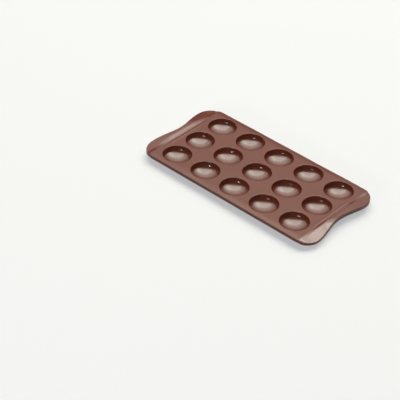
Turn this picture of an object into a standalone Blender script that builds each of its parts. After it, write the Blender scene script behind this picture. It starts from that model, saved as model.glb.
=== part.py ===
# Silicone chocolate mould: one moulded sheet, fifteen round praline cups under a flat deck.
# It stands on the cups' base flats at z = 0, with X along its length and the deck facing up.
import bpy
import bmesh
from math import asin, cos, pi, sin, sqrt

mm = 0.001

# Cups: a short upright wall, a round corner and a domed base
cup_columns = 5
cup_rows = 3
cavity_radius = 14.3 * mm
upright_wall_height = 3.2 * mm
corner_radius = 3.2 * mm
dome_radius = 24 * mm
mouth_rounding = 0.6 * mm
cup_wall = 1.3 * mm
base_flat_cut = 0.15 * mm
cup_gap_along = 5.8 * mm
cup_gap_across = 2.2 * mm

# Deck: a thin sheet whose edge turns down all round
deck_wall = 1.8 * mm
skirt_height = 3.4 * mm
skirt_wall = 1.8 * mm
skirt_to_cup = 2.2 * mm
edge_rounding = 0.5 * mm
lobe_radius = 17 * mm

# Grip tabs: past a fold at each end the deck swells up, and its edge waves inward
fold_to_cup = 4.4 * mm
tab_length = 13 * mm
tab_recess = 4.5 * mm
tab_swell = 1.8 * mm
swell_station_shares = (0.0, 0.1, 0.22, 0.38, 0.6, 0.82, 1.0)
swell_height_shares = (0.0, 0.22, 0.72, 1.0, 0.9, 0.6, 0.2)

# Square pads sunk into the underside between each four cups
pad_side = 7.4 * mm
pad_depth = 0.4 * mm

# Facets, and the overrun of every cut
turn_steps = 24
corner_steps = 2
dome_steps = 2
mouth_steps = 2
lobe_steps = 7
wave_steps = 10
edge_steps = 2
round_profile = 0.5
overrun = 3 * mm

# Sizes that follow from those above
cup_radius = cavity_radius + cup_wall
pitch_along = 2 * cup_radius + cup_gap_along
pitch_across = 2 * cup_radius + cup_gap_across
last_column = pitch_along * (cup_columns - 1) / 2
last_row = pitch_across * (cup_rows - 1) / 2
fold_line = last_column + cup_radius + fold_to_cup
half_length = fold_line + tab_length
half_width = last_row + cup_radius + skirt_to_cup + skirt_wall

# The cavity's corner is tangent to its wall and to the sphere of its base
corner_centre = cavity_radius - corner_radius
corner_slope = asin(corner_centre / (dome_radius - corner_radius))
cavity_depth = upright_wall_height + dome_radius - (dome_radius - corner_radius) * cos(corner_slope)
deck_top = cavity_depth + cup_wall - base_flat_cut
deck_bottom = deck_top - deck_wall
dome_centre = deck_top - cavity_depth + dome_radius
base_flat_radius = sqrt((dome_radius + cup_wall) ** 2 - dome_centre ** 2)

for leftover in list(bpy.data.objects):
    bpy.data.objects.remove(leftover, do_unlink=True)
part_collection = bpy.data.collections.new("Silicone_Chocolate_Mould")
guide_collection = bpy.data.collections.new("Mould_Guides")
for group in (part_collection, guide_collection):
    bpy.context.scene.collection.children.link(group)


def add_object(name, mesh, collection):
    piece = bpy.data.objects.new(name, mesh)
    collection.objects.link(piece)
    if collection == guide_collection:
        piece.hide_render = True
        piece.display_type = "WIRE"
    return piece


def sheet_outline(inset):
    # Counter-clockwise from the lower right lobe: lobe, waved end, lobe, then the same turned round
    lobe_x = half_length - lobe_radius
    lobe_y = half_width - lobe_radius
    reach = lobe_radius - inset
    turns = [pi / 2 * step / lobe_steps for step in range(1, lobe_steps + 1)]
    lower = [(lobe_x + reach * cos(turn), -lobe_y - reach * sin(turn)) for turn in reversed(turns)]
    upper = [(lobe_x + reach * cos(turn), lobe_y + reach * sin(turn)) for turn in turns]
    wave = []
    for step in range(wave_steps + 1):
        across = 2 * step / wave_steps - 1
        recess = tab_recess * (1 + cos(pi * across)) / 2
        wave.append((half_length - inset - recess, lobe_y * across))
    end = lower + wave + upper
    return end + [(-x, -y) for x, y in end]


def swell(x):
    # Rise of the tab over the deck, straight between its stations
    share = (abs(x) - fold_line) / tab_length
    stations = list(zip(swell_station_shares, swell_height_shares))
    for (start, low), (stop, high) in zip(stations, stations[1:]):
        if start < share <= stop:
            return tab_swell * (low + (high - low) * (share - start) / (stop - start))
    return tab_swell * swell_height_shares[-1] if share > 1 else 0.0


def add_slab(name, inset, top, thickness, rounding, collection):
    # A plate with the sheet's outline and rounded rims, then bent over both tabs. Its faces stay
    # flat, because they are split where the bend changes slope.
    work = bmesh.new()
    upper = work.faces.new([work.verts.new((x, y, 0.0)) for x, y in sheet_outline(inset)])
    lower = bmesh.ops.extrude_face_region(work, geom=[upper], use_keep_orig=True)["geom"]
    lower = [corner for corner in lower if isinstance(corner, bmesh.types.BMVert)]
    bmesh.ops.translate(work, vec=(0, 0, -thickness), verts=lower)
    bmesh.ops.recalc_face_normals(work, faces=work.faces[:])
    if rounding:
        rims = [rim for rim in work.edges if rim.verts[0].co.z == rim.verts[1].co.z]
        bmesh.ops.bevel(work, geom=rims, offset=rounding, segments=edge_steps, profile=round_profile,
                        affect="EDGES")
    for share in swell_station_shares[:-1]:
        for side in (-1, 1):
            bmesh.ops.bisect_plane(work, geom=work.verts[:] + work.edges[:] + work.faces[:],
                                   plane_co=(side * (fold_line + tab_length * share), 0, 0),
                                   plane_no=(1, 0, 0))
    for corner in work.verts:
        corner.co.z += top + swell(corner.co.x)
    mesh = bpy.data.meshes.new(name)
    work.to_mesh(mesh)
    work.free()
    return add_object(name, mesh, collection)


def cup_section(growth, stop):
    # Half section under the deck, parallel to the cavity's skin: wall, corner and dome
    reach = corner_radius + growth
    corner_z = deck_top - upright_wall_height
    turns = [pi / 2 + (corner_slope - pi / 2) * step / corner_steps
             for step in range(corner_steps + 1)]
    points = [(corner_centre + reach * sin(turn), corner_z - reach * cos(turn)) for turn in turns]
    rim = points[-1][0]
    for step in range(1, dome_steps + 1):
        x = rim + (stop - rim) * step / dome_steps
        points.append((x, dome_centre - sqrt((dome_radius + growth) ** 2 - x ** 2)))
    return points


def add_turned(name, section):
    mesh = bpy.data.meshes.new(name)
    mesh.from_pydata([(x, 0.0, z) for x, z in section],
                     [(at, at + 1) for at in range(len(section) - 1)], [])
    piece = add_object(name, mesh, guide_collection)
    screw = piece.modifiers.new("Turn", "SCREW")
    screw.steps = screw.render_steps = turn_steps
    screw.use_merge_vertices = True
    screw.merge_threshold = 0.01 * mm
    return piece


def repeat(piece, columns, rows):
    # One copy under each place of a grid centred on the sheet
    piece.location.x = -pitch_along * (columns - 1) / 2
    piece.location.y = -pitch_across * (rows - 1) / 2
    for count, step in ((columns, (pitch_along, 0, 0)), (rows, (0, pitch_across, 0))):
        array = piece.modifiers.new("Grid", "ARRAY")
        array.count = count
        array.use_relative_offset = False
        array.use_constant_offset = True
        array.constant_offset_displace = step


def combine(piece, name, operation, other):
    boolean = piece.modifiers.new(name, "BOOLEAN")
    boolean.operation = operation
    boolean.object = other


# Guides: the hollow under the deck, the cups, their cavities and the sunk pads
hollow = add_slab("Underside_Hollow", skirt_wall, deck_bottom, skirt_height + overrun, 0.0,
                  guide_collection)

cup_top = (deck_top + deck_bottom) / 2
cups = add_turned("Cup_Shapes", [(0.0, cup_top), (cup_radius, cup_top)]
                  + cup_section(cup_wall, base_flat_radius) + [(0.0, 0.0)])
repeat(cups, cup_columns, cup_rows)

mouth_radius = cavity_radius + mouth_rounding
mouth = [(mouth_radius - mouth_rounding * sin(pi / 2 * step / mouth_steps),
          deck_top - mouth_rounding * (1 - cos(pi / 2 * step / mouth_steps)))
         for step in range(mouth_steps + 1)]
cavities = add_turned("Cavity_Shapes", [(0.0, deck_top + overrun), (mouth_radius, deck_top + overrun)]
                      + mouth + cup_section(0.0, 0.0))
repeat(cavities, cup_columns, cup_rows)

work = bmesh.new()
bmesh.ops.create_cube(work, size=1)
bmesh.ops.scale(work, vec=(pad_side, pad_side, 2 * pad_depth), verts=work.verts[:])
bmesh.ops.translate(work, vec=(0, 0, deck_bottom), verts=work.verts[:])
pad_mesh = bpy.data.meshes.new("Pad_Shapes")
work.to_mesh(pad_mesh)
work.free()
pads = add_object("Pad_Shapes", pad_mesh, guide_collection)
repeat(pads, cup_columns - 1, cup_rows - 1)

# The tray itself: a plate, hollowed underneath, with its cups, cavities and pads
tray = add_slab("mold_tray", 0.0, deck_top, skirt_height, edge_rounding, part_collection)
combine(tray, "Hollow_Underside", "DIFFERENCE", hollow)
combine(tray, "Sink_Pads", "DIFFERENCE", pads)
combine(tray, "Add_Cups", "UNION", cups)
combine(tray, "Cut_Cavities", "DIFFERENCE", cavities)

silicone = bpy.data.materials.new("Brown_Silicone")
silicone.use_nodes = True
shader = silicone.node_tree.nodes["Principled BSDF"]
shader.inputs["Base Color"].default_value = (0.155, 0.05, 0.032, 1.0)
shader.inputs["Roughness"].default_value = 0.42
shader.inputs["Metallic"].default_value = 0.0
tray.data.materials.append(silicone)
tray.data.shade_smooth()
tray.data.set_sharp_from_angle(angle=pi / 6)

print("Tray", round(2 * half_length / mm, 2), "x", round(2 * half_width / mm, 2), "mm, deck top",
      round(deck_top / mm, 3), "mm, cavity depth", round(cavity_depth / mm, 3), "mm, base flat",
      round(base_flat_radius / mm, 3), "mm, pitches", round(pitch_along / mm, 2),
      round(pitch_across / mm, 2), "mm")
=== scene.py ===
import bmesh
import bpy
import numpy as np
from math import asin, cos, pi, radians, sin, sqrt
from mathutils import Matrix, Vector
from mathutils.geometry import delaunay_2d_cdt


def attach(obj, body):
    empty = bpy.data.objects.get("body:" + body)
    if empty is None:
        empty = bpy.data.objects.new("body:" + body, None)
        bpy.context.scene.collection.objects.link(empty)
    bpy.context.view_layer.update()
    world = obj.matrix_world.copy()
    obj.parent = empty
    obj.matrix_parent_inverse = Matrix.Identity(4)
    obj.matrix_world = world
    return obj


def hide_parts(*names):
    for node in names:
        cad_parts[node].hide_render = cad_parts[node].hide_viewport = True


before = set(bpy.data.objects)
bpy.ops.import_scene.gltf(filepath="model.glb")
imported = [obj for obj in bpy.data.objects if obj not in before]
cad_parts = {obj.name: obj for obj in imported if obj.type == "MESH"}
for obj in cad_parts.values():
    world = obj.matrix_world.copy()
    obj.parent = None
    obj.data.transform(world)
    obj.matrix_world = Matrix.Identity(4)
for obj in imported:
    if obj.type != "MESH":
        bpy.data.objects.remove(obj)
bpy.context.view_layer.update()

# Silicone chocolate mould: one moulded sheet with fifteen round cups. The tray's own mesh is
# worked out in millimetres and brought to metres once, just before it joins the frame.
mm = 0.001


# Nodes, for the tray's tree and for the finishes

class Socket:
    # One output of a node tree. Sums on it add Math nodes to that tree.
    def __init__(self, kit, link):
        self.kit, self.link = kit, link

    def maths(self, operation, first, second):
        return self.kit.add("ShaderNodeMath", {"operation": operation}, {0: first, 1: second})

    def __add__(self, other): return self.maths("ADD", self, other)
    def __radd__(self, other): return self.maths("ADD", other, self)
    def __sub__(self, other): return self.maths("SUBTRACT", self, other)
    def __rsub__(self, other): return self.maths("SUBTRACT", other, self)
    def __mul__(self, other): return self.maths("MULTIPLY", self, other)
    def __rmul__(self, other): return self.maths("MULTIPLY", other, self)


class Kit:
    # Adds nodes to one tree: settings first, then the values or links of the inputs
    def __init__(self, tree):
        self.tree = tree

    def add(self, kind, settings=None, inputs=None, output=0):
        node = self.tree.nodes.new(kind)
        for name, value in (settings or {}).items():
            setattr(node, name, value)
        for name, value in (inputs or {}).items():
            if isinstance(value, Socket):
                self.tree.links.new(value.link, node.inputs[name])
            else:
                node.inputs[name].default_value = value
        return Socket(self, node.outputs[output])

    def mixColours(self, factor, first, second):
        return self.add("ShaderNodeMix", {"data_type": "RGBA"}, {0: factor, 6: first, 7: second}, 2)


# The tray's sizes and shape rules, all in millimetres

cup = {
    "columns": 5, "rows": 3, "pitchAlong": 37.0, "pitchAcross": 33.4,
    "cavityRadius": 14.3, "uprightWall": 3.2, "cornerRadius": 3.2, "domeRadius": 24.0,
    "lipRounding": 0.6, "wall": 1.3, "baseCut": 0.15, "footFillet": 0.7,
    "stepsRound": 64, "domeRings": 10, "cornerRings": 8, "lipRings": 4,
    "lipFlat": 0.35, "glossPast": 0.3, "deckShares": (0.35, 0.7, 1.0),
}
sheet = {
    "halfLength": 107.0, "halfWidth": 53.0, "lobeRadius": 17.0, "deckWall": 1.8,
    "skirtHeight": 3.9, "skirtWall": 1.8, "edgeRounding": 0.5, "innerFillet": 0.6,
    "waviness": 0.07, "edgeDroop": 0.35, "droopFrom": 46.5, "droopRun": 6.5,
    "edgeSteps": 4, "deckRings": 6, "backRings": 5,
    "reaches": (0.4, 1.0, 1.6, 2.3, 3.1, 4.0, 5.0),
}
tab = {
    "foldLine": 93.2, "recess": 5.4, "ridge": (1.1, 1.68), "lobeLevel": -0.9,
    "ridgeReach": 12.0, "lobeReach": 50.0, "riseRun": (3.8, 5.2),
    "fallStart": (3.4, 6.0), "fallRun": 8.5, "fallDepth": (2.6, 0.3), "farShare": 0.2,
    "fallFrom": 4.0, "fallReach": 16.0, "pullIn": (1.4, 0.0), "length": 13.0,
    "stepHeight": 0.22, "stepStart": -2.9, "stepRise": 0.9, "stepFall": 1.9, "stepReach": 36.0,
    "bottomFollow": 0.5, "endSkirt": 0.5, "skirtRun": 4.8,
    "scoreLines": (90.2, 90.5, 90.8, 91.1, 91.4, 91.8, 92.2, 92.8,
                   93.2, 93.7, 94.2, 94.8, 95.4, 96.0, 96.7, 97.4),
}
pad = {"side": 7.4, "depth": 0.4, "wallRun": 0.4}
gate = {"radius": 1.1, "depth": 0.16}

cornerCentre = cup["cavityRadius"] - cup["cornerRadius"]
cornerSlope = asin(cornerCentre / (cup["domeRadius"] - cup["cornerRadius"]))
cavityDepth = (cup["uprightWall"] + cup["domeRadius"]
               - (cup["domeRadius"] - cup["cornerRadius"]) * cos(cornerSlope))
deckTop = cavityDepth + cup["wall"] - cup["baseCut"]
deckUnder = deckTop - sheet["deckWall"]
domeCentre = deckTop - cavityDepth + cup["domeRadius"]
gridHalfLength = cup["pitchAlong"] * cup["columns"] / 2
gridHalfWidth = cup["pitchAcross"] * cup["rows"] / 2


def smooth(share):
    share = np.clip(share, 0.0, 1.0)
    return share * share * (3 - 2 * share)


def swell(x, y):
    # The grip tab past the fold. In the middle it rises to a ridge and stays up, towards the lobes
    # it is lower and falls away to its edge. A narrow step runs along the fold before the rise.
    # The sheet is limp, so the two tabs hang a little differently: right one first, then left.
    past = np.abs(x) - tab["foldLine"]
    across = np.abs(y)
    ridge, riseRun, fallStart, fallDepth = (np.where(x > 0, *tab[name])
                                            for name in ("ridge", "riseRun", "fallStart", "fallDepth"))
    level = ridge + (tab["lobeLevel"] - ridge) * smooth(
        (across - tab["ridgeReach"]) / (tab["lobeReach"] - tab["ridgeReach"]))
    fall = fallDepth * smooth((across - tab["fallFrom"]) / tab["fallReach"])
    fall = fall * np.where(y > 0, tab["farShare"], 1)
    step = smooth((past - tab["stepStart"]) / tab["stepRise"]) - smooth(
        (past - tab["stepStart"] - tab["stepRise"]) / tab["stepFall"])
    stepFade = 1 - smooth((across - 0.5 * tab["stepReach"]) / (0.5 * tab["stepReach"]))
    return (level * smooth(past / riseRun) - fall * np.clip((past - fallStart) / tab["fallRun"], 0, None)
            + tab["stepHeight"] * step * stepFade)


def waviness(x, y):
    # The soft sheet never lies dead flat, and droops a little along its two long edges
    uneven = np.sin(x / 9 + 0.7) * np.cos(y / 8 - 0.4) + 0.6 * np.sin(x / 15 - y / 11 + 1.9)
    droop = smooth((np.abs(y) - sheet["droopFrom"]) / sheet["droopRun"])
    return sheet["waviness"] * uneven - sheet["edgeDroop"] * droop


def arc(centreR, centreZ, radius, start, stop, rings):
    # From straight down at 0 to level at pi / 2
    turns = [start + (stop - start) * step / rings for step in range(rings + 1)]
    return [(centreR + radius * sin(turn), centreZ - radius * cos(turn)) for turn in turns]


def cavitySection():
    cornerZ = deckTop - cup["uprightWall"]
    lip = cup["lipRounding"]
    mouth = cup["cavityRadius"] + lip
    points = arc(0, domeCentre, cup["domeRadius"], 0, cornerSlope, cup["domeRings"])
    points += arc(cornerCentre, cornerZ, cup["cornerRadius"], cornerSlope, pi / 2, cup["cornerRings"])[1:]
    points.append((cup["cavityRadius"], (cornerZ + deckTop - lip) / 2))
    for step in range(cup["lipRings"] + 1):
        turn = pi / 2 * step / cup["lipRings"]
        points.append((mouth - lip * cos(turn), deckTop - lip + lip * sin(turn)))
    points.append((mouth + cup["lipFlat"], deckTop))
    return points


def outerSection():
    cornerZ = deckTop - cup["uprightWall"]
    fillet = cup["footFillet"]
    foot = cup["cavityRadius"] + cup["wall"] + fillet
    outerDome = cup["domeRadius"] + cup["wall"]
    flat = sqrt(outerDome ** 2 - domeCentre ** 2)
    points = [(0.0, 0.0), (gate["radius"] * 0.5, 0.0), (gate["radius"] * 0.9, 0.0),
              (gate["radius"] * 1.1, 0.0), (flat * 0.93, 0.0)]
    points += arc(0, domeCentre, outerDome, asin(flat / outerDome) * 1.07, cornerSlope, cup["domeRings"] - 1)
    points += arc(cornerCentre, cornerZ, cup["cornerRadius"] + cup["wall"], cornerSlope, pi / 2,
                  cup["cornerRings"])[1:]
    for step in range(cup["lipRings"] + 1):
        turn = pi / 2 * step / cup["lipRings"]
        points.append((foot - fillet * cos(turn), deckUnder - fillet + fillet * sin(turn)))
    return points


def sideStations(half):
    # Places along one side of a cup's cell, close together where a sunk pad's wall crosses it
    fromCorner = [0.0, pad["side"] / 4, (pad["side"] - pad["wallRun"]) / 2,
                  (pad["side"] + pad["wallRun"]) / 2]
    rest = cup["stepsRound"] // 8 - 3
    fromCorner += [fromCorner[-1] + (half - fromCorner[-1]) * step / rest for step in range(1, rest + 1)]
    return [-half + place for place in fromCorner] + [half - place for place in reversed(fromCorner[:-1])]


def cellBorder():
    # Counter-clockwise from the lower right corner
    halfX, halfY = cup["pitchAlong"] / 2, cup["pitchAcross"] / 2
    alongX, alongY = sideStations(halfX)[:-1], sideStations(halfY)[:-1]
    return ([(halfX, y) for y in alongY] + [(-x, halfY) for x in alongX]
            + [(-halfX, -y) for y in alongY] + [(x, -halfY) for x in alongX])


def ringAt(work, points, z):
    return [work.verts.new((x, y, z)) for x, y in points]


def bridge(work, inner, outer):
    for at in range(len(inner)):
        after = (at + 1) % len(inner)
        work.faces.new((inner[at], outer[at], outer[after], inner[after]))


def turnSection(work, section):
    # Rings about the cup's axis, the first point being the pole
    steps = cup["stepsRound"]
    turns = [2 * pi * (at - steps / 8) / steps for at in range(steps)]
    pole = work.verts.new((0, 0, section[0][1]))
    last = None
    for radius, z in section[1:]:
        ring = ringAt(work, [(radius * cos(turn), radius * sin(turn)) for turn in turns], z)
        if last:
            bridge(work, last, ring)
        else:
            for at in range(steps):
                work.faces.new((pole, ring[at], ring[(at + 1) % steps]))
        last = ring
    return last


def makeCupCell():
    # One cup with its rectangle of deck: the cavity's skin above, the cup's skin underneath
    work = bmesh.new()
    gloss = work.verts.layers.float.new("inCavity")
    under = work.verts.layers.float.new("underside")
    work.verts.layers.float.new("skirt")
    border = cellBorder()

    last = turnSection(work, cavitySection())
    for corner in work.verts:
        if sqrt(corner.co.x ** 2 + corner.co.y ** 2) < cup["cavityRadius"] + cup["glossPast"]:
            corner[gloss] = 1.0
    mouth = [corner.co.xy for corner in last]
    for share in cup["deckShares"]:
        points = [Vector(edge) * share + start * (1 - share) for start, edge in zip(mouth, border)]
        ring = ringAt(work, points, deckTop)
        bridge(work, last, ring)
        last = ring

    above = set(work.verts)
    foot = turnSection(work, outerSection())
    halfX, halfY = cup["pitchAlong"] / 2, cup["pitchAcross"] / 2
    points = [corner.co.xy.copy() for corner in foot] + [Vector(edge) for edge in border]
    count = len(border)
    edges = [(at, (at + 1) % count) for at in range(count)]
    edges += [(count + at, count + (at + 1) % count) for at in range(count)]
    for inset in ((pad["side"] - pad["wallRun"]) / 2, (pad["side"] + pad["wallRun"]) / 2):
        for sideX in (-1, 1):
            for sideY in (-1, 1):
                start = len(points)
                points += [Vector((sideX * (halfX - inset), sideY * halfY)),
                           Vector((sideX * (halfX - inset), sideY * (halfY - inset))),
                           Vector((sideX * halfX, sideY * (halfY - inset)))]
                edges += [(start, start + 1), (start + 1, start + 2)]
    flatPoints, _, faces, sources, _, _ = delaunay_2d_cdt(points, edges, [], 0, 1e-4)
    placed = []
    for at, point in enumerate(flatPoints):
        onFoot = [source for source in sources[at] if source < count]
        placed.append(foot[onFoot[0]] if onFoot else work.verts.new((point.x, point.y, deckUnder)))
    onFoot = set(foot)
    for face in faces:
        corners = [placed[at] for at in face]
        if not all(corner in onFoot for corner in corners):
            work.faces.new(corners)
    for corner in work.verts:
        if corner not in above:
            corner[under] = 1.0
    return finishMesh(work, "Cup cell")


def outlinePoint(side, share, inset):
    # A point of the sheet's outline, moved in by inset. Side 0 is the waved end at +X, side 1 the
    # long edge at +Y, and share runs counter-clockwise from lobe middle to lobe middle.
    lobeX = sheet["halfLength"] - sheet["lobeRadius"]
    lobeY = sheet["halfWidth"] - sheet["lobeRadius"]
    reach = sheet["lobeRadius"] - inset
    eighth = sheet["lobeRadius"] * pi / 4
    straight = 2 * lobeY if side == 0 else 2 * lobeX
    run = share * (straight + 2 * eighth)
    if side == 0:
        if run < eighth:
            turn = run / sheet["lobeRadius"] - pi / 4
            return lobeX + reach * cos(turn), -lobeY + reach * sin(turn)
        if run > eighth + straight:
            turn = (run - eighth - straight) / sheet["lobeRadius"]
            return lobeX + reach * cos(turn), lobeY + reach * sin(turn)
        y = run - eighth - lobeY
        scoop = tab["recess"] * (1 + cos(pi * y / lobeY)) / 2
        slope = -tab["recess"] * pi / lobeY * sin(pi * y / lobeY) / 2
        lean = sqrt(1 + slope ** 2)
        return sheet["halfLength"] - scoop - inset / lean, y - inset * slope / lean
    if run < eighth:
        turn = run / sheet["lobeRadius"] + pi / 4
        return lobeX + reach * cos(turn), lobeY + reach * sin(turn)
    if run > eighth + straight:
        turn = (run - eighth - straight) / sheet["lobeRadius"] + pi / 2
        return -lobeX + reach * cos(turn), lobeY + reach * sin(turn)
    return lobeX - (run - eighth), sheet["halfWidth"] - inset


def outlineLoop(inset):
    shares = gridShares()
    half = [outlinePoint(0, share, inset) for share in shares[0]]
    half += [outlinePoint(1, share, inset) for share in shares[1]]
    return half + [(-x, -y) for x, y in half]


def gridStations(count, pitch):
    # The cells' side stations, repeated along one side of the grid, without the last point
    places = []
    for cell in range(count):
        centre = (cell - (count - 1) / 2) * pitch
        places += [centre + place for place in sideStations(pitch / 2)[:-1]]
    return places


def gridShares():
    across = gridStations(cup["rows"], cup["pitchAcross"])
    along = gridStations(cup["columns"], cup["pitchAlong"])
    return ([(place + gridHalfWidth) / (2 * gridHalfWidth) for place in across],
            [(place + gridHalfLength) / (2 * gridHalfLength) for place in along])


def gridLoop():
    across = gridStations(cup["rows"], cup["pitchAcross"])
    along = gridStations(cup["columns"], cup["pitchAlong"])
    half = [(gridHalfLength, y) for y in across] + [(-x, gridHalfWidth) for x in along]
    return half + [(-x, -y) for x, y in half]


def apronRings(start, stop, reaches, restRings):
    # Rings between the grid's border and a loop near the edge. On the tabs the first rings keep
    # a fixed distance from the grid, so that they run along the fold.
    rings = []
    for at in range(1, len(reaches) + restRings + 1):
        ring = []
        for (startX, startY), (stopX, stopY) in zip(start, stop):
            onTab = abs(startX) > gridHalfLength - 0.001
            whole = abs(stopX - startX)
            if onTab:
                held = reaches[-1] / whole
                if at <= len(reaches):
                    share = reaches[at - 1] / whole
                else:
                    share = held + (1 - held) * (at - len(reaches)) / restRings
            else:
                share = at / (len(reaches) + restRings)
            ring.append((startX + (stopX - startX) * share, startY + (stopY - startY) * share))
        rings.append(ring)
    return rings


def makeApron():
    # The deck outside the cups, its rounded edge, the skirt and the way back underneath
    work = bmesh.new()
    work.verts.layers.float.new("inCavity")
    under = work.verts.layers.float.new("underside")
    outer = work.verts.layers.float.new("skirt")
    grid = gridLoop()
    rounding, fillet = sheet["edgeRounding"], sheet["innerFillet"]
    height, wall = sheet["skirtHeight"], sheet["skirtWall"]
    reaches, steps = sheet["reaches"], sheet["edgeSteps"]

    last = ringAt(work, grid, deckTop)
    for points in apronRings(grid, outlineLoop(rounding), reaches, sheet["deckRings"]):
        ring = ringAt(work, points, deckTop)
        bridge(work, last, ring)
        last = ring
    quarter = [pi / 2 * step / steps for step in range(1, steps + 1)]
    section = [(rounding * (1 - sin(turn)), -rounding * (1 - cos(turn))) for turn in quarter]
    section += [(0.0, -height / 2), (0.0, rounding - height)]
    section += [(rounding * (1 - cos(turn)), rounding - height - rounding * sin(turn)) for turn in quarter]
    section += [(wall - rounding, -height)]
    section += [(wall - rounding * (1 - sin(turn)), -height + rounding * (1 - cos(turn))) for turn in quarter]
    section += [(wall, -sheet["deckWall"] - fillet)]
    section += [(wall + fillet * (1 - cos(turn)), -sheet["deckWall"] - fillet * (1 - sin(turn)))
                for turn in quarter]
    skirtFrom, underFrom = steps - 1, 2 * steps + 2  # where the skirt and the underside start
    for at, (inset, drop) in enumerate(section):
        ring = ringAt(work, outlineLoop(inset), deckTop + drop)
        bridge(work, last, ring)
        last = ring
        for corner in ring:
            corner[under] = 1.0 if at >= underFrom else 0.0
            corner[outer] = 1.0 if skirtFrom <= at < underFrom else 0.0
    back = apronRings(grid, outlineLoop(wall + fillet), reaches, sheet["backRings"])[:-1]
    for points in reversed(back):
        ring = ringAt(work, points, deckUnder)
        bridge(work, last, ring)
        last = ring
        for corner in ring:
            corner[under] = 1.0
    ring = ringAt(work, grid, deckUnder)
    bridge(work, last, ring)
    for corner in ring:
        corner[under] = 1.0
    return finishMesh(work, "Deck edge and tabs")


def finishMesh(work, name):
    mesh = bpy.data.meshes.new(name)
    work.to_mesh(mesh)
    work.free()
    shape = bpy.data.objects.new(name, mesh)
    bpy.context.scene.collection.objects.link(shape)
    return shape


def cupGridTree():
    # Repeats the cup's cell over the grid and welds it to the deck's edge
    tree = bpy.data.node_groups.new("Cup grid", "GeometryNodeTree")
    for name, kind in (("Deck Edge", "NodeSocketGeometry"), ("Cup Cell", "NodeSocketObject"),
                       ("Columns", "NodeSocketInt"), ("Rows", "NodeSocketInt"),
                       ("Pitch Along", "NodeSocketFloat"), ("Pitch Across", "NodeSocketFloat"),
                       ("Weld Distance", "NodeSocketFloat"), ("Finish", "NodeSocketMaterial")):
        tree.interface.new_socket(name, in_out="INPUT", socket_type=kind)
    tree.interface.new_socket("Tray", in_out="OUTPUT", socket_type="NodeSocketGeometry")
    kit = Kit(tree)
    given = tree.nodes.new("NodeGroupInput")
    value = {socket.name: Socket(kit, socket) for socket in given.outputs if socket.name}
    places = kit.add("GeometryNodeMeshGrid", None, {
        "Size X": (value["Columns"] - 1) * value["Pitch Along"],
        "Size Y": (value["Rows"] - 1) * value["Pitch Across"],
        "Vertices X": value["Columns"], "Vertices Y": value["Rows"]})
    cell = kit.add("GeometryNodeObjectInfo", {"transform_space": "ORIGINAL"},
                   {"Object": value["Cup Cell"]}, "Geometry")
    cells = kit.add("GeometryNodeInstanceOnPoints", None, {"Points": places, "Instance": cell})
    cells = kit.add("GeometryNodeRealizeInstances", None, {"Geometry": cells})
    joined = kit.add("GeometryNodeJoinGeometry", None, {"Geometry": cells})
    tree.links.new(value["Deck Edge"].link, joined.link.node.inputs["Geometry"])
    welded = kit.add("GeometryNodeMergeByDistance", None,
                     {"Geometry": joined, "Distance": value["Weld Distance"]})
    whole = kit.add("GeometryNodeRealizeInstances", None, {"Geometry": welded})
    finished = kit.add("GeometryNodeSetMaterial", None, {"Geometry": whole, "Material": value["Finish"]})
    result = tree.nodes.new("NodeGroupOutput")
    tree.links.new(finished.link, result.inputs["Tray"])
    return tree


def setInputs(modifier, values):
    for item in modifier.node_group.interface.items_tree:
        if item.item_type == "SOCKET" and item.in_out == "INPUT" and item.name in values:
            modifier[item.identifier] = values[item.name]


def bendAndSink(mesh):
    # Lifts the tabs, sinks the pads and the gate mark, and lets the sheet lie a little unevenly
    places = np.empty(len(mesh.vertices) * 3)
    mesh.vertices.foreach_get("co", places)
    x, y, z = places.reshape(-1, 3).T.copy()
    under = np.empty(len(mesh.vertices))
    mesh.attributes["underside"].data.foreach_get("value", under)

    inner = ((np.abs(x) < gridHalfLength - cup["pitchAlong"] / 2)
             & (np.abs(y) < gridHalfWidth - cup["pitchAcross"] / 2))
    acrossX = x / cup["pitchAlong"] + cup["columns"] / 2
    acrossY = y / cup["pitchAcross"] + cup["rows"] / 2
    fromX = np.abs(acrossX - np.round(acrossX)) * cup["pitchAlong"]
    fromY = np.abs(acrossY - np.round(acrossY)) * cup["pitchAcross"]
    floorOfPad = (np.maximum(fromX, fromY) < pad["side"] / 2 - pad["wallRun"] / 4)
    onDeckUnder = (under > 0.5) & (np.abs(z - deckUnder) < 0.001)
    lifted = z + np.where(inner & floorOfPad & onDeckUnder, pad["depth"], 0.0)
    fromAxis = np.hypot(x, y)
    lifted += np.where((under > 0.5) & (z < 0.01) & (fromAxis < gate["radius"]), gate["depth"], 0.0)
    down = np.where(np.abs(x) > tab["foldLine"], np.clip((deckTop - z) / sheet["skirtHeight"], 0, 1), 0.0)
    lifted += swell(x, y) * (1 - tab["bottomFollow"] * down)
    lifted -= tab["endSkirt"] * down * smooth((np.abs(x) - tab["foldLine"]) / tab["skirtRun"])
    lifted += waviness(x, y) * np.clip(z / deckTop, 0, 1) ** 2
    x -= np.sign(x) * np.where(x > 0, *tab["pullIn"]) * smooth((np.abs(x) - tab["foldLine"]) / tab["length"])
    places = np.stack((x, y, lifted), axis=1) * mm
    mesh.vertices.foreach_set("co", places.ravel())


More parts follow.
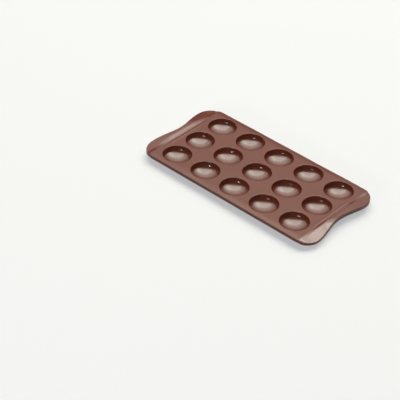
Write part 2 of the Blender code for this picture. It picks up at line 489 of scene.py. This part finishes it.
def makeTray(finish):
    cell, apron = makeCupCell(), makeApron()
    grid = apron.modifiers.new("Cup grid", "NODES")
    grid.node_group = cupGridTree()
    setInputs(grid, {"Cup Cell": cell, "Columns": cup["columns"], "Rows": cup["rows"],
                     "Pitch Along": cup["pitchAlong"], "Pitch Across": cup["pitchAcross"],
                     "Weld Distance": 0.01, "Finish": finish})
    mesh = bpy.data.meshes.new_from_object(apron.evaluated_get(bpy.context.evaluated_depsgraph_get()))
    for helper in (cell, apron):
        bpy.data.objects.remove(helper)
    work = bmesh.new()
    work.from_mesh(mesh)
    for place in tab["scoreLines"]:
        for side in (-1, 1):
            bmesh.ops.bisect_plane(work, geom=work.verts[:] + work.edges[:] + work.faces[:], dist=0.01,
                                   plane_co=(side * place, 0, 0), plane_no=(1, 0, 0))
    work.to_mesh(mesh)
    work.free()
    bendAndSink(mesh)
    work = bmesh.new()
    work.from_mesh(mesh)
    bmesh.ops.recalc_face_normals(work, faces=work.faces[:])
    openEdges = sum(not edge.is_manifold for edge in work.edges)
    work.to_mesh(mesh)
    triangles = sum(len(face.verts) - 2 for face in work.faces)
    work.free()
    mesh.shade_smooth()
    mesh.set_sharp_from_angle(angle=radians(35))
    mesh.name = "Mould tray"
    tray = bpy.data.objects.new("mouldTray", mesh)
    bpy.context.scene.collection.objects.link(tray)
    print("tray made:", triangles, "triangles,", openEdges, "open edges")
    return tray


# Finishes. The tab's gloss sets in between two distances from the middle, in metres.

silicone = {
    "colour": (0.186, 0.046, 0.024, 1), "deepColour": (0.154, 0.036, 0.019, 1),
    # The skirt's colour is painted shade: darker than the deck's, standing in for the shade on the band's
    # sides low by the floor
    "skirtPaintedShade": (0.095, 0.024, 0.014, 1), "skirtRoughness": 0.5,
    "underColour": (0.150, 0.035, 0.018, 1), "index": 1.5,
    "deckRoughness": 0.35, "tabRoughness": 0.25, "tabFrom": (0.0925, 0.096),
    "cavityRoughness": 0.20, "underRoughness": 0.30, "underShare": 0.8, "smudgeRoughness": 0.08,
    "cloudScale": 38, "smudgeScale": 95, "grainScale": 2400, "peelScale": 210,
    "grainShare": 0.35, "bumpStrength": 0.22, "bumpDistance": 0.00006,
    "deckCoat": 0.65, "tabCoat": 1.0, "cavityCoat": 0.9, "coatRoughness": 0.15,
}


def siliconeFinish():
    look = bpy.data.materials.new("Brown silicone")
    look.use_nodes = True
    kit = Kit(look.node_tree)
    shader = look.node_tree.nodes["Principled BSDF"]
    place = kit.add("ShaderNodeTexCoord", output="Object")
    cavity = kit.add("ShaderNodeAttribute", {"attribute_name": "inCavity"}, output="Fac")
    under = kit.add("ShaderNodeAttribute", {"attribute_name": "underside"}, output="Fac")
    skirt = kit.add("ShaderNodeAttribute", {"attribute_name": "skirt"}, output="Fac")

    def noise(scale, detail):
        return kit.add("ShaderNodeTexNoise", None,
                       {"Vector": place, "Scale": scale, "Detail": detail}, "Fac")

    cloud = noise(silicone["cloudScale"], 3)
    smudge = noise(silicone["smudgeScale"], 4)
    grain = noise(silicone["grainScale"], 2)
    peel = noise(silicone["peelScale"], 2)

    fromMiddle = kit.add("ShaderNodeMath", {"operation": "ABSOLUTE"}, {
        0: kit.add("ShaderNodeSeparateXYZ", None, {"Vector": place}, "X")})
    onTab = kit.add("ShaderNodeMapRange", {"interpolation_type": "SMOOTHSTEP"}, {
        "Value": fromMiddle, "From Min": silicone["tabFrom"][0], "From Max": silicone["tabFrom"][1]})

    colour = kit.mixColours(cloud, silicone["deepColour"], silicone["colour"])
    colour = kit.mixColours(under * silicone["underShare"], colour, silicone["underColour"])
    # Painted shade: the skirt band gets a darker colour than the deck, in place of the shade that falls on
    # its sides
    colour = kit.mixColours(skirt, colour, silicone["skirtPaintedShade"])
    roughness = (silicone["deckRoughness"]
                 + cavity * (silicone["cavityRoughness"] - silicone["deckRoughness"])
                 + under * (silicone["underRoughness"] - silicone["deckRoughness"])
                 + skirt * (silicone["skirtRoughness"] - silicone["deckRoughness"])
                 + onTab * (silicone["tabRoughness"] - silicone["deckRoughness"])
                 + (smudge - 0.5) * silicone["smudgeRoughness"])
    bump = kit.add("ShaderNodeBump", None, {
        "Height": grain * silicone["grainShare"] + peel,
        "Strength": silicone["bumpStrength"], "Distance": silicone["bumpDistance"]})
    coat = (silicone["deckCoat"] + (silicone["cavityCoat"] - silicone["deckCoat"]) * cavity
            + (silicone["tabCoat"] - silicone["deckCoat"]) * onTab) * (1 - skirt)
    for name, value in (("Base Color", colour), ("Roughness", roughness),
                        ("Coat Weight", coat), ("Normal", bump)):
        look.node_tree.links.new(value.link, shader.inputs[name])
    shader.inputs["IOR"].default_value = silicone["index"]
    shader.inputs["Coat Roughness"].default_value = silicone["coatRoughness"]
    return look


floorLook = {
    "size": 8.0, "colour": (0.85, 0.855, 0.86, 1), "roughness": 0.8,
    "lift": 0.42, "liftColour": (0.955, 0.975, 1.0, 1),
}


def floorFinish():
    # Pale paper. The camera sees part of it as plain white, so that the shadow stays light.
    look = bpy.data.materials.new("Studio floor")
    look.use_nodes = True
    kit = Kit(look.node_tree)
    shader = look.node_tree.nodes["Principled BSDF"]
    shader.inputs["Base Color"].default_value = floorLook["colour"]
    shader.inputs["Roughness"].default_value = floorLook["roughness"]
    seen = kit.add("ShaderNodeMath", {"operation": "MAXIMUM"}, {
        0: kit.add("ShaderNodeLightPath", output="Is Camera Ray"),
        1: kit.add("ShaderNodeLightPath", output="Is Transmission Ray")})
    white = kit.add("ShaderNodeEmission", None, {"Color": floorLook["liftColour"], "Strength": 1.0})
    mixed = kit.add("ShaderNodeMixShader", None, {0: seen * floorLook["lift"],
                                                  1: Socket(kit, shader.outputs[0]), 2: white})
    look.node_tree.links.new(mixed.link, look.node_tree.nodes["Material Output"].inputs["Surface"])
    return look


# The tray takes the CAD node's place, and stands on the floor

tray = makeTray(siliconeFinish())
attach(tray, "root")
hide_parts("mold_tray")

half = floorLook["size"] / 2
work = bmesh.new()
work.faces.new([work.verts.new((sideX * half, sideY * half, 0))
                for sideX, sideY in ((-1, -1), (1, -1), (1, 1), (-1, 1))])
floor = finishMesh(work, "studioFloor")
floor.data.materials.append(floorFinish())

# Lamps, room and camera

studio = {
    "camera": (0.69867, -0.90851, 0.85559), "cameraTurn": (52.321, -2.435, 42.119), "lens": 132.56,
    "clip": (0.01, 50),
    "viewFrom": -52.4,
    "softbox": {"right": 2, "back": 13, "away": 2.5, "size": (3.05, 1.36), "power": 31,
                "shape": "ELLIPSE", "colour": (1.0, 0.98, 0.88)},
    "softbox rim": {"right": 0, "back": 23, "away": 2.55, "size": (4.7, 2.15), "power": 32,
                    "shape": "ELLIPSE", "colour": (1.0, 0.98, 0.88)},
    "second lamp": {"right": 25, "back": 20, "away": 2.4, "size": (1.1, 0.95), "power": 3.4,
                    "shape": "ELLIPSE", "colour": (1.0, 0.95, 0.9)},
    "reflector": {"right": -1, "back": 42, "away": 2.6, "size": (4.1, 1.65), "power": 14,
                  "shape": "RECTANGLE", "colour": (1.0, 0.97, 0.9)},
    "window": {"right": -34, "back": -66, "away": 1.6, "size": (0.16, 0.12), "power": 5.0,
               "shape": "RECTANGLE", "colour": (1.0, 1.0, 1.0)},
    "room": 0.15, "darkRoom": 0.03, "white": 1.0, "sweepBack": (0.95, 1.0), "sweepSide": (0.75, 0.5),
}


def addLight(name, settings):
    # Right and back are degrees from straight overhead, as the camera sees the room
    turn = radians(studio["viewFrom"])
    back = Vector((-cos(turn), -sin(turn), 0))
    right = Vector((back.y, -back.x, 0))
    lean = radians(sqrt(settings["right"] ** 2 + settings["back"] ** 2))
    aside = (right * settings["right"] + back * settings["back"]).normalized()
    towards = aside * sin(lean) + Vector((0, 0, cos(lean)))
    across = (right - towards * right.dot(towards)).normalized()
    lamp = bpy.data.lights.new(name, "AREA")
    lamp.shape = settings["shape"]
    lamp.size, lamp.size_y = settings["size"]
    lamp.energy = settings["power"]
    lamp.color = settings["colour"]
    holder = bpy.data.objects.new(name, lamp)
    turned = Matrix((across, towards.cross(across), towards)).transposed().to_4x4()
    holder.matrix_world = Matrix.Translation(towards * settings["away"]) @ turned
    bpy.context.scene.collection.objects.link(holder)


for name in ("softbox", "softbox rim", "second lamp", "reflector", "window"):
    addLight(name.capitalize(), studio[name])

# The white sweep behind the tray is seen by the camera all round, and by reflections where it
# stands; the rest of the room is dim
world = bpy.data.worlds.new("Studio")
bpy.context.scene.world = world
world.use_nodes = True
kit = Kit(world.node_tree)
turn = radians(studio["viewFrom"])
towards = kit.add("ShaderNodeTexCoord", output="Generated")


def spread(direction, start, stop):
    # 0 to 1 as a ray turns towards a direction
    along = kit.add("ShaderNodeVectorMath", {"operation": "DOT_PRODUCT"},
                    {0: towards, 1: direction}, "Value")
    along = kit.add("ShaderNodeMath", {"operation": "ABSOLUTE"}, {0: along}) if start > stop else along
    return kit.add("ShaderNodeMapRange", {"interpolation_type": "SMOOTHSTEP"},
                   {"Value": along, "From Min": start, "From Max": stop})


def ray(kind):
    return kit.add("ShaderNodeLightPath", output=kind)


sweep = (spread((-cos(turn), -sin(turn), 0), *studio["sweepBack"])
         * spread((-sin(turn), cos(turn), 0), *studio["sweepSide"]))
glossy = ray("Is Glossy Ray")
lit = studio["room"] + glossy * (studio["darkRoom"] - studio["room"])
seen = kit.add("ShaderNodeMath", {"operation": "MAXIMUM"},
               {0: ray("Is Camera Ray"), 1: ray("Is Transmission Ray")})
seen = kit.add("ShaderNodeMath", {"operation": "MAXIMUM"}, {0: seen, 1: glossy * sweep})
strength = lit + seen * (studio["white"] - lit)
world.node_tree.links.new(strength.link, world.node_tree.nodes["Background"].inputs["Strength"])
world.node_tree.nodes["Background"].inputs["Color"].default_value = (1, 1, 1, 1)

view = bpy.data.cameras.new("Camera")
view.lens = studio["lens"]
view.clip_start, view.clip_end = studio["clip"]
holder = bpy.data.objects.new("Camera", view)
holder.location = studio["camera"]
holder.rotation_euler = [radians(turn) for turn in studio["cameraTurn"]]
bpy.context.scene.collection.objects.link(holder)
bpy.context.scene.camera = holder
bpy.context.scene.view_settings.view_transform = "Standard"
